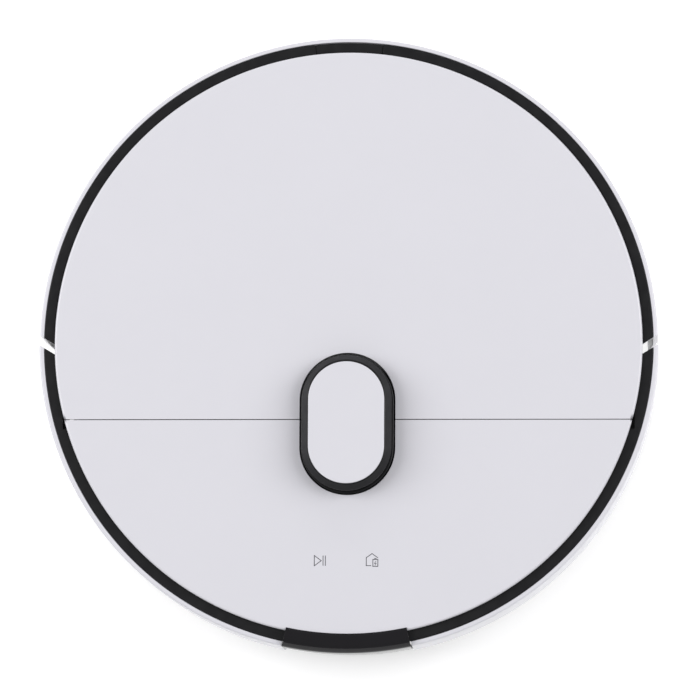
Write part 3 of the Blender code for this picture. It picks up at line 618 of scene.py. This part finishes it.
def build_painted_shade_pockets():
    """Black pockets on the ring's underside that close off the room under the lid's corners; they are painted
    shade, dark pieces set where the gap at the seam's ends shows only shade.
    """
    parts = []
    ahead, back = SWING_FRONT - 0.4, HINGE.y + 1.8
    for side in (-1, 1):
        floor = sorted((POCKET_INNER * side, POCKET_OUTER * side))
        rim = sorted((POCKET_WALL * side, POCKET_OUTER * side))
        parts.append(block("pocket_floor", (floor[0], ahead, POCKET_LOW), (floor[1], back, POCKET_FLOOR)))
        parts.append(block("pocket_wall", (rim[0], ahead, POCKET_FLOOR), (rim[1], back, RING_LOW)))
    place(edges(joined("painted_shade_pockets", parts), 0.1, 2), "bumper", "trim_black", BLACK)


def build_window():
    """Curved cover of the sensors, which laps over the ring at the top."""
    inner, outer, top = WINDOW_INNER, WINDOW_RADIUS, WINDOW_TOP
    points = [(inner, top - 0.65), (inner + 1.3, top), (outer - 3.4, top - 0.1), (outer - 0.3, top - 3.6),
              (outer, top - 9.0), (outer - 2.9, WINDOW_LOW), (outer - 5.1, WINDOW_LOW),
              (outer - 2.3, top - 9.0), (outer - 2.5, top - 3.8), (outer - 4.6, top - 1.05),
              (inner, top - 1.05)]
    radii = [0.12, 0.5, 3.0, 3.0, 9.0, 0.5, 0.4, 8.0, 2.0, 2.0, 0.1]
    profile = rounded(points, radii, 9)
    window = skin("sensor_window", profile, sector(-90, WINDOW_HALF_DEG, 60), True, False)
    place(edges(window, 0.45, 4), "bumper", "window_black", GLOSS, "front_window")


def build_grille():
    """Exhaust grille: a frame with upright louvres."""
    outer = REAR_RADIUS - 0.2

    def wall_at(height):
        drop = max(0.0, WALL_KNEE - height)
        return outer - WALL_DRAW * drop / (WALL_KNEE - WALL_LOW)

    low, high = GRILLE_LOW, GRILLE_HIGH
    bars = []
    for number, (bottom, top) in enumerate(((low, low + RAIL), (high - RAIL, high))):
        corner_points = [(wall_at(top) - 0.1, top), (wall_at(bottom) - 0.1, bottom),
                         (wall_at(bottom) - RAIL, bottom), (wall_at(top) - RAIL, top)]
        profile = rounded(corner_points, [0.4, 0.4, 0.2, 0.2], 4)
        bars.append(skin(f"rail_{number}", profile, sector(GRILLE_DEG, GRILLE_HALF_DEG, 20), True, False))
    louvres = 15
    for i in range(louvres):
        middle = GRILLE_DEG - GRILLE_HALF_DEG + 0.35 + (2 * GRILLE_HALF_DEG - 0.7) * i / (louvres - 1)
        profile = [(wall_at(high - 1) - 0.3, high - 1), (wall_at(WALL_KNEE) - 0.3, WALL_KNEE),
                   (wall_at(low + 1) - 0.3, low + 1), (wall_at(low + 1) - 2.2, low + 1),
                   (wall_at(WALL_KNEE) - 2.2, WALL_KNEE), (wall_at(high - 1) - 2.2, high - 1)]
        bars.append(skin(f"louvre_{i}", profile, sector(middle, 0.33, 3), True, False))
    place(edges(joined("exhaust_louvres", bars), 0.18, 2), "body", "trim_black", BLACK, "exhaust_grille")


# ---------------------------------------------------------------- top covers

def cover_outline(towards, edge_y):
    """Round outline cut straight at the seam, with half of the turret's notch."""
    lean = math.degrees(math.asin(edge_y / COVER_RADIUS))
    count = FINE * 2 // 3
    if towards > 0:
        rim = arc(0, 0, COVER_RADIUS, lean, 180 - lean, count)
        notch = arc(0, NOTCH_Y + NOTCH_HALF, NOTCH_RADIUS, 180, 0, 49)
        seam = [(-NOTCH_RADIUS, edge_y)] + notch + [(NOTCH_RADIUS, edge_y)]
        return rim + seam
    rim = arc(0, 0, COVER_RADIUS, 180 - lean, 360 + lean, count)
    notch = arc(0, NOTCH_Y - NOTCH_HALF, NOTCH_RADIUS, 0, -180, 49)
    return rim + [(NOTCH_RADIUS, edge_y)] + notch + [(-NOTCH_RADIUS, edge_y)]


def cover_plate(name, outline, low):
    """Flat plate with a softly rolled outer rim and crisp seam edges."""
    made = slab(name, outline, low, COVER_TOP)
    bm = bmesh.new()
    bm.from_mesh(made.data)
    near = 0.2 * MM
    rim, crisp = [], []
    for edge in bm.edges:
        a, b = (vert.co for vert in edge.verts)
        if abs(a.z - b.z) > near or a.z < COVER_TOP * MM - near:
            continue
        on_rim = all(point.xy.length > COVER_RADIUS * MM - near for point in (a, b))
        (rim if on_rim else crisp).append(edge)
    bmesh.ops.bevel(bm, geom=rim, offset=1.35 * MM, segments=7, profile=0.5, affect="EDGES")
    crisp = [edge for edge in crisp if edge.is_valid]
    bmesh.ops.bevel(bm, geom=crisp, offset=0.22 * MM, segments=3, profile=0.5, affect="EDGES")
    bm.to_mesh(made.data)
    bm.free()
    made.data.shade_smooth()
    return made


def build_covers():
    front = cover_plate("front_top_cover", cover_outline(-1, SEAM_Y - SEAM_GAP / 2), COVER_LOW)
    place(weigh(front), "body", "shell_white", WHITE, "front_cover")

    plate = cover_plate("lid_plate", cover_outline(1, SEAM_Y + SEAM_GAP / 2), COVER_LOW)
    room = []
    for side in (-1, 1):
        low, high = sorted((EAR_ROOM[0] * side, EAR_ROOM[1] * side))
        room.append(block("ear_room", (low, SEAM_Y - 5, HINGE.z - 4), (high, HINGE.y, HINGE.z + 2.2)))
        room.append(cylinder("ear_bore", 2.3, (low, HINGE.y, HINGE.z), (high, HINGE.y, HINGE.z), 32))
    boolean(plate, room, "DIFFERENCE")
    place(weigh(plate), "lid", "shell_white", WHITE, "lid")

    knuckles = []
    for side in (-1, 1):
        for near, far in KNUCKLES:
            tube = skin("knuckle", rounded([(2.5, near), (2.5, far), (1.3, far), (1.3, near)], [0.2] * 4, 3),
                        circle(0, 0, 40))
            knuckles.append(along_x(tube, side, 0, HINGE.y, HINGE.z))
    place(edges(joined("lid_knuckles", knuckles), 0.1, 2), "lid", "shell_white", WHITE)


def stroke(points, closed=False, width=ICON_LINE):
    """A line of even width, as flat round-ended bars."""
    bars = []
    ends = list(zip(points, points[1:] + points[:1] if closed else points[1:]))
    for (x0, y0), (x1, y1) in ends:
        lean = math.degrees(math.atan2(y1 - y0, x1 - x0))
        first_end = arc(x0, y0, width / 2, lean + 90, lean + 270, 7)
        last_end = arc(x1, y1, width / 2, lean - 90, lean + 90, 7)
        bars.append(slab("bar", first_end + last_end, COVER_TOP - 0.02, COVER_TOP + ICON_RISE))
    return bars


def build_icons():
    """Plain line icons over the two touch keys: play with pause, and a house with a charge sign."""
    play_x, home_x = -18.2, 14.2
    play = stroke([(play_x, ICON_Y + 2.9), (play_x + 3.9, ICON_Y), (play_x, ICON_Y - 2.9)], True)
    for step in (4.9, 6.2):
        play += stroke([(play_x + step, ICON_Y + 2.7), (play_x + step, ICON_Y - 2.7)])
    place(joined("play_icon", play), "body", "trim_black", ICON)

    top, eaves, base = ICON_Y + 4.0, ICON_Y + 1.7, ICON_Y - 2.8
    home = stroke([(home_x - 0.6, base), (home_x - 3.2, base), (home_x - 3.2, eaves), (home_x, top),
                   (home_x + 3.2, eaves)])
    left, right, low, high = home_x + 0.5, home_x + 3.3, ICON_Y - 3.2, ICON_Y + 0.7
    home += stroke([(left, low), (right, low), (right, high), (left, high)], True)
    middle = (left + right) / 2
    home += stroke([(middle - 0.5, high + 0.5), (middle + 0.5, high + 0.5)])
    home += stroke([(middle + 0.3, high - 1.0), (middle - 0.5, high - 2.3), (middle + 0.5, high - 2.1),
                    (middle - 0.2, high - 3.4)], False, 0.3)
    place(joined("home_icon", home), "body", "trim_black", ICON)


# ---------------------------------------------------------------- laser turret

def build_turret():
    outline = stadium(TURRET_Y, TURRET_HALF)
    skirt = skin("turret_skirt", rounded([(SKIRT_RADIUS, SLOT_LOW), (SKIRT_RADIUS, 60.0), (24.0, 60.0),
                                          (24.0, SLOT_LOW)], [0.7, 0.2, 0.2, 0.3], 5), outline)
    place(edges(skirt, 0.15, 2), "body", "trim_black", BLACK, "lidar_skirt")

    under, ceiling = 20.2, SLOT_HIGH + 2.4
    points = [(PLATE_RADIUS + 0.4, HOOD_TOP), (CAP_LOW_RADIUS, SLOT_HIGH + 0.9), (CAP_LOW_RADIUS, SLOT_HIGH),
              (under, SLOT_HIGH), (under, ceiling), (4.0, ceiling), (4.0, HOOD_TOP)]
    cap = skin("turret_hood", rounded(points, [0.9, 0.8, 0.3, 0.3, 0.3, 0.0, 0.0], 6), outline, False)
    pillars = []
    for x, y in ((-22.2, TURRET_Y), (22.2, TURRET_Y), (-13, TURRET_Y + 30), (13, TURRET_Y + 30)):
        pillars.append(cylinder("pillar", 1.5, (x, y, SLOT_LOW - 6), (x, y, SLOT_HIGH + 0.5), 24))
    hood = joined("turret_hood", [cap] + pillars)
    place(edges(hood, 0.12, 2), "body", "trim_black", BLACK, "turret_cap")

    edge = PLATE_RADIUS - 0.35
    plate = skin("turret_top_plate", rounded([(1.0, PLATE_TOP), (edge, PLATE_TOP), (edge, PLATE_LOW),
                                              (1.0, PLATE_LOW)], [0.0, 0.45, 0.15, 0.0], 6),
                 stadium(TURRET_Y - 0.3, TURRET_HALF), False)
    place(edges(plate, 0.1, 2), "body", "shell_white", WHITE, "turret_plate")


def build_rotor():
    """The spinning laser head, with its two ports and their lenses."""
    low, high = ROTOR_LOW.z, ROTOR_HIGH.z
    profile = rounded([(5.4, high), (17.6, high), (18.6, high - 1.0), (18.6, 67.0), (16.6, 66.4), (16.6, low),
                       (5.4, low)], [0.1, 0.4, 0.6, 0.5, 0.4, 0.3, 0.2], 4)
    drum = skin("laser_head", profile, circle(0, ROTOR_Y, MEDIUM))
    top = cylinder("head_lid", 8.0, (0, ROTOR_Y, 80), (0, ROTOR_Y, high - 0.6), 64)
    boolean(drum, [top], "UNION")
    ports = []
    for name, x, radius in (("emitter", -BEAM_X, 2.6), ("receiver", BEAM_X, 4.6)):
        ports.append(cylinder(name, radius, (x, ROTOR_Y - 25, BEAM_Z), (x, ROTOR_Y - 12, BEAM_Z), 32))
    boolean(drum, ports, "DIFFERENCE")
    place(edges(drum, 0.25), "laser_head", "trim_black", BLACK, "lidar_rotor")
    lenses = []
    for x, radius, y in ((-BEAM_X, 2.4, -14.4), (BEAM_X, 4.3, -13.4)):
        dome = skin("dome", [(radius, 0.0), (radius, 0.9), (radius * 0.92, 1.5), (radius * 0.7, 2.1),
                             (radius * 0.35, 2.5), (0.2, 2.6)], circle(0, 0, 40), False)
        turn = Matrix.Rotation(math.pi / 2, 4, "X")
        dome.data.transform(Matrix.Translation(Vector((x, ROTOR_Y + y, BEAM_Z)) * MM) @ turn)
        lenses.append(dome)
    place(joined("laser_lenses", lenses), "laser_head", "window_black", GLOSS)


# ---------------------------------------------------------------- running gear

def build_wheel(side, name):
    """Tyre with two rows of slanted lugs, and the spoked hub inside it."""
    half = (WHEEL_HIGH.x - WHEEL_LOW.x) / 2
    middle = (WHEEL_LOW.x + half) * side
    base = WHEEL_RADIUS - 1.6
    profile = rounded([(HUB_RADIUS + 0.3, half), (base, half), (base, -half), (HUB_RADIUS + 0.3, -half)],
                      [0.4, 2.2, 2.2, 0.4], 6)
    parts = [skin("tread", profile, circle(0, 0, MEDIUM))]
    lugs, lug_half = 22, 0.045
    lug_faces = [(0, 1, 3, 2), (4, 5, 7, 6), (0, 1, 5, 4), (2, 3, 7, 6), (0, 2, 6, 4), (1, 3, 7, 5)]
    for i in range(lugs):
        for end in (-1, 1):
            start = math.radians(360.0 * (i + 0.25 * (end + 1)) / lugs)
            lug = []
            for z, lead in ((0.6, 0.0), (half - 0.6, 0.10)):
                for radius in (base - 1.0, WHEEL_RADIUS - 0.05):
                    for wide in (-lug_half, lug_half):
                        angle = start + lead + wide
                        lug.append((radius * math.cos(angle), radius * math.sin(angle), z * end))
            parts.append(piece("lug", lug, lug_faces))
    tyre = along_x(joined(f"tyre_{name}", parts), side, middle, WHEEL_Y, WHEEL_Z)
    place(edges(tyre, 0.35, 2), f"{name}_wheel", "tyre_rubber", RUBBER, f"wheel_tyre_{name}")

    profile = rounded([(4.5, 13.0), (10, 13.0), (12, 8.0), (22, 8.0), (24.5, 12.5), (HUB_RADIUS, 12.5),
                       (HUB_RADIUS, -12.5), (24.5, -12.5), (22, 0.0), (10, 0.0), (10, -12.0), (4.5, -12.0)],
                      [0.4, 0.8, 1.0, 1.0, 0.8, 0.4, 0.4, 0.6, 1.0, 1.0, 0.5, 0.3], 4)
    hub = skin("hub", profile, circle(0, 0, MEDIUM))
    holes = []
    for i in range(6):
        x, y = arc(0, 0, 17.0, 60 * i, 60 * i, 2)[0]
        holes.append(cylinder("window", 3.6, (x, y, -2), (x, y, 12), 32))
    boolean(hub, holes, "DIFFERENCE")
    along_x(hub, side, middle, WHEEL_Y, WHEEL_Z)
    hub.name = f"hub_{name}"
    place(edges(hub, 0.3), f"{name}_wheel", "tray_grey", TRAY, f"wheel_hub_{name}")


def build_caster():
    """The caster's barrel-shaped roller with its pin. It stands on the floor, so z is its radius."""
    y, z = (CASTER_LOW.y + CASTER_HIGH.y) / 2, (CASTER_LOW.z + CASTER_HIGH.z) / 2
    upper = [(2.0, 8.6), (10.3, 8.6), (11.3, 8.3), (12.1, 7.2), (12.6, 5.4), (12.9, 2.8)]
    lower = [(radius, -height) for radius, height in reversed(upper)]
    roller = skin("caster_roller", upper + [(z, 0.0)] + lower, circle(0, 0, MEDIUM), False)
    pin = cylinder("pin", 2.0, (0, 0, -12.6), (0, 0, 12.6), 32)
    wheel = along_x(boolean(roller, [pin], "UNION"), 1, 0, y, z)
    place(edges(wheel, 0.25), "caster_roller", "tyre_rubber", RUBBER, "caster_wheel")


def chevron_twist(x, length):
    """Angle by which the rows on the brush lean forward, most at its middle."""
    return 0.9 * (1 - abs(x) / length)


def around_brush(x, radius, angle):
    """A point at this distance and angle from the main brush's axis."""
    return (x, BRUSH_Y + radius * math.cos(angle), BRUSH_Z + radius * math.sin(angle))


def build_main_brush():
    """Roller with rubber blades and rows of bristle tufts, both laid as chevrons."""
    length, rows = 75.5, 5
    core = cylinder("core", 10.6, (-length, BRUSH_Y, BRUSH_Z), (length, BRUSH_Y, BRUSH_Z), 64)
    journal = cylinder("journal", 2.7, (BRUSH_START, BRUSH_Y, BRUSH_Z), (-length + 1, BRUSH_Y, BRUSH_Z), 32)
    boolean(core, [journal], "UNION")
    boolean(core, [cylinder("socket", 3.6, (70, BRUSH_Y, BRUSH_Z), (80, BRUSH_Y, BRUSH_Z), 32)], "DIFFERENCE")
    bodies = [core]
    sections = 49
    section = ((9.5, 0.13), (14.0, 0.055), (BRUSH_RADIUS - 0.6, 0.03), (BRUSH_RADIUS - 0.2, 0.0),
               (BRUSH_RADIUS - 0.6, -0.03), (14.0, -0.055), (9.5, -0.13))
    count = len(section)
    for row in range(0, rows * 2, 2):
        verts = []
        for k in range(sections):
            x = -length + 1.5 + 2 * (length - 1.5) * k / (sections - 1)
            angle = 2 * math.pi * row / (rows * 2) + chevron_twist(x, length)
            for radius, wide in section:
                verts.append(around_brush(x, radius, angle + wide))
        faces = [tuple(range(count)), tuple((sections - 1) * count + i for i in range(count))]
        for k in range(sections - 1):
            low, high = k * count, (k + 1) * count
            for i in range(count):
                j = (i + 1) % count
                faces.append((low + i, low + j, high + j, high + i))
        bodies.append(piece("blade", verts, faces))
    place(edges(joined("brush_core_and_blades", bodies), 0.15, 2, 50), "main_brush", "frame_grey", FRAME,
          "brush_roller")

    bristles = []
    tufts, spread = 56, ((0.0, 0.0), (0.5, 0.035), (-0.5, -0.035), (0.3, -0.05))
    for row in range(1, rows * 2, 2):
        for k in range(tufts):
            x = -length + 3 + 2 * (length - 3) * k / (tufts - 1)
            angle = 2 * math.pi * row / (rows * 2) + chevron_twist(x, length)
            for dx, lean in spread:
                foot = around_brush(x, 10.0, angle + lean * 0.3)
                tip = around_brush(x + dx, BRUSH_RADIUS - 0.1, angle + lean)
                bristles.append(cylinder("bristle", 0.32, foot, tip, 5, 0.16))
    place(joined("brush_bristles", bristles), "main_brush", "brush_orange", BRISTLE)


def build_side_brush():
    """Hub with three arms, each ending in a flat spray of hair just above the floor."""
    points = [(2.7, 9.8), (9.0, 9.8), (9.0, 6.6), (6.5, 5.6), (0.4, 5.6), (0.4, 7.4), (2.7, 7.4)]
    profile = rounded(points, [0.3, 0.8, 0.9, 0.6, 0.0, 0.0, 0.2], 5)
    hub = skin("hub", profile, circle(SIDE_X, SIDE_Y, 64), False)
    parts, hairs = [hub], []
    outward = math.degrees(math.atan2(SIDE_Y, SIDE_X))
    for arm in range(3):
        lean = math.radians(outward + 60 + 120 * arm)
        way = Vector((math.cos(lean), math.sin(lean), 0.0))
        across = Vector((-way.y, way.x, 0.0))
        centre = Vector((SIDE_X, SIDE_Y, 0.0))
        root, knuckle = centre + way * 5 + Vector((0, 0, 7.7)), centre + way * 21 + Vector((0, 0, 6.3))
        parts.append(cylinder("arm", 2.5, root, knuckle, 32, 1.9))
        for k in range(26):
            share = (k % 13 - 6) / 6.0
            lift = 0.35 if k >= 13 else -0.35
            start = knuckle - way * 1.5 + across * share * 1.3 + Vector((0, 0, lift))
            end = centre + way * (SIDE_REACH - 1.0 - 1.5 * share ** 2) + across * share * 4.4
            end.z = 3.0 + lift * 1.4
            hairs.append(cylinder("hair", 0.3, start, end, 6, 0.17))
    place(edges(joined("side_brush_hub", parts), 0.3), "edge_brush", "frame_grey", FRAME, "side_brush")
    place(joined("side_brush_hair", hairs), "edge_brush", "brush_orange", BRISTLE)


# ---------------------------------------------------------------- details and kept CAD nodes

def screw(x, y, z, towards, radius=2.6):
    """A round screw head with a cross recess, standing on a face at this height."""
    head = skin("head", [(radius, 0.0), (radius, 0.35), (radius * 0.86, 0.75), (radius * 0.5, 0.95),
                         (0.2, 1.0)], circle(0, 0, 28), False)
    slots = [block("slot", (-radius * 0.62, -0.3, 0.35), (radius * 0.62, 0.3, 2.0)),
             block("slot", (-0.3, -radius * 0.62, 0.35), (0.3, radius * 0.62, 2.0))]
    boolean(head, slots, "DIFFERENCE")
    flip = Matrix.Rotation(math.pi if towards < 0 else 0.0, 4, "X")
    head.data.transform(Matrix.Translation(Vector((x, y, z)) * MM) @ flip)
    return head


def build_screws():
    """Screw heads on the pan's underside and on the deck, mostly in mirrored pairs."""
    pan_low = corners("chassis")[0].z
    pairs = ((128, -72), (131, 66), (60, 120), (62, -106), (40, 60))
    under = [screw(x * side, y, pan_low + 0.3, -1) for x, y in pairs for side in (-1, 1)]
    under.append(screw(0, 148, pan_low + 0.3, -1))
    place(edges(joined("pan_screws", under), 0.08, 2), "body", "steel", STEEL)
    pairs = ((90, 20), (120, -20), (110, 90))
    upper = [screw(x * side, y, DECK_TOP - 0.3, 1) for x, y in pairs for side in (-1, 1)]
    place(edges(joined("deck_screws", upper), 0.08, 2), "body", "steel", STEEL)


def finish_cad_nodes():
    """Gives every CAD node that still shows its finish, rounded edges and even shading."""
    slots = {row["node"]: row["material_slot"] for row in frame["record"]["subparts"]}
    special = {"charge_contact_left": PLATED, "charge_contact_right": PLATED}
    for name, node in frame["nodes"].items():
        if node.hide_render:
            continue
        node.data.materials.clear()
        node.data.materials.append(special.get(name, SLOT_FINISH[slots[name]]))
        smallest = min(high - low for low, high in zip(*corners(name)))
        weld = node.modifiers.new("weld", "WELD")
        weld.merge_threshold = 0.002 * MM
        edges(node, min(0.5, smallest * 0.08), 2, 40)


# ---------------------------------------------------------------- stage, light and camera

def build_stage():
    """A white floor and an even white sky."""
    reach, height = 6000.0, -0.2
    square = [(-reach, -reach, height), (reach, -reach, height), (reach, reach, height),
              (-reach, reach, height)]
    floor = piece("floor", square, [(0, 1, 2, 3)])
    made = Finish("floor_pale", (0.80, 0.80, 0.80), 0.8)
    made.set("Specular IOR Level", 0.1)
    made.set("Emission Color", (1.0, 1.0, 1.0, 1.0)).set("Emission Strength", 0.46)
    made.vary_roughness(200.0, 0.05)
    floor.data.materials.append(made.material)

    world = bpy.data.worlds.new("studio")
    world.use_nodes = True
    back = world.node_tree.nodes["Background"]
    back.inputs["Color"].default_value = (1.0, 1.0, 1.0, 1.0)
    back.inputs["Strength"].default_value = 0.35
    bpy.context.scene.world = world
    bpy.context.scene.view_settings.view_transform = "Standard"


def area_light(name, place_m, size_m, watts, aim=(0.0, 0.0, 0.06)):
    """A rectangular lamp at a place in metres, turned towards the object."""
    lamp = bpy.data.lights.new(name, "AREA")
    lamp.shape = "RECTANGLE"
    lamp.size, lamp.size_y = size_m
    lamp.energy = watts
    made = bpy.data.objects.new(name, lamp)
    made.location = place_m
    made.rotation_mode = "QUATERNION"
    made.rotation_quaternion = (Vector(aim) - Vector(place_m)).to_track_quat("-Z", "Y")
    bpy.context.scene.collection.objects.link(made)


def build_lights():
    area_light("softbox_left", (-2.1, 0.35, 1.8), (1.6, 2.0), 45)
    area_light("softbox_right", (2.0, 0.4, 1.8), (1.6, 2.0), 40.5)
    area_light("strip_back", (0.0, 2.6, 1.0), (2.4, 0.7), 6)


def build_camera():
    """Looks almost straight down from the front, a little to the right."""
    azimuth, elevation, roll = math.radians(23.5), math.radians(82.4), -0.0048
    distance, focal, sensor = 3.2, 291.9, 36.0
    target = Vector((0.0, 0.0, 0.08))
    off_right, off_up = 0.00118, -0.00394
    back = Vector((math.sin(azimuth) * math.cos(elevation), -math.cos(azimuth) * math.cos(elevation),
                   math.sin(elevation)))
    level = (Vector((0, 1, 0)) - back * back.y).normalized()
    right = level.cross(back)
    up = (level + right * roll).normalized()
    right = up.cross(back)
    data = bpy.data.cameras.new("photo_view")
    data.lens, data.sensor_width = focal, sensor
    data.clip_start, data.clip_end = 0.1, 100.0
    camera = bpy.data.objects.new("photo_view", data)
    place_m = target + back * distance + right * off_right + up * off_up
    camera.matrix_world = Matrix.Translation(place_m) @ Matrix((right, up, back)).transposed().to_4x4()
    bpy.context.scene.collection.objects.link(camera)
    bpy.context.scene.camera = camera


build_camera()
build_stage()
build_lights()
build_walls()
build_trim_rings()
build_painted_shade_pockets()
build_window()
build_grille()
build_covers()
build_icons()
build_turret()
build_rotor()
for wheel_side, wheel_name in ((-1, "left"), (1, "right")):
    build_wheel(wheel_side, wheel_name)
build_caster()
build_main_brush()
build_side_brush()
build_screws()
finish_cad_nodes()
